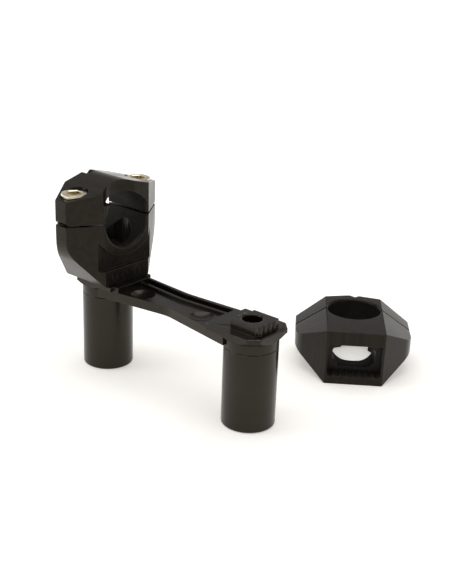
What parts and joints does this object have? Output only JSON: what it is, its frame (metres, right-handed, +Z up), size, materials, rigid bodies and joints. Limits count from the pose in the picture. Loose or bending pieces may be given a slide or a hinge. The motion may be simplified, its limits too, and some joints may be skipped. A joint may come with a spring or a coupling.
{
  "type": "handlebar riser",
  "caption": "Black handlebar riser: a waisted bridge on round posts, one split bar clamp fitted on its toothed seat and the other taken off and laid beside it.",
  "frame": {"origin": "midway between the two threaded feet of the posts, on the plane they stand on", "axes": "+X along the bridge from the fitted clamp to the bare seat, +Y to the rear, +Z up along the posts"},
  "size_m": [0.1271, 0.1397, 0.0928],
  "materials": {
    "black_anodised": "satin",
    "post_black": "satin",
    "screw_steel": "polished"
  },
  "bodies": {
    "root": {"bridge": "black_anodised", "left_post": "post_black", "right_post": "post_black", "left_clamp_body": "black_anodised", "left_clamp_cap": "black_anodised", "left_clamp_screws": "screw_steel", "left_seat_bolt": "screw_steel", "left_seat_washer": "screw_steel", "right_clamp_body": "black_anodised", "right_clamp_cap": "black_anodised", "right_clamp_screws": "screw_steel"}
  },
  "joints": []
}
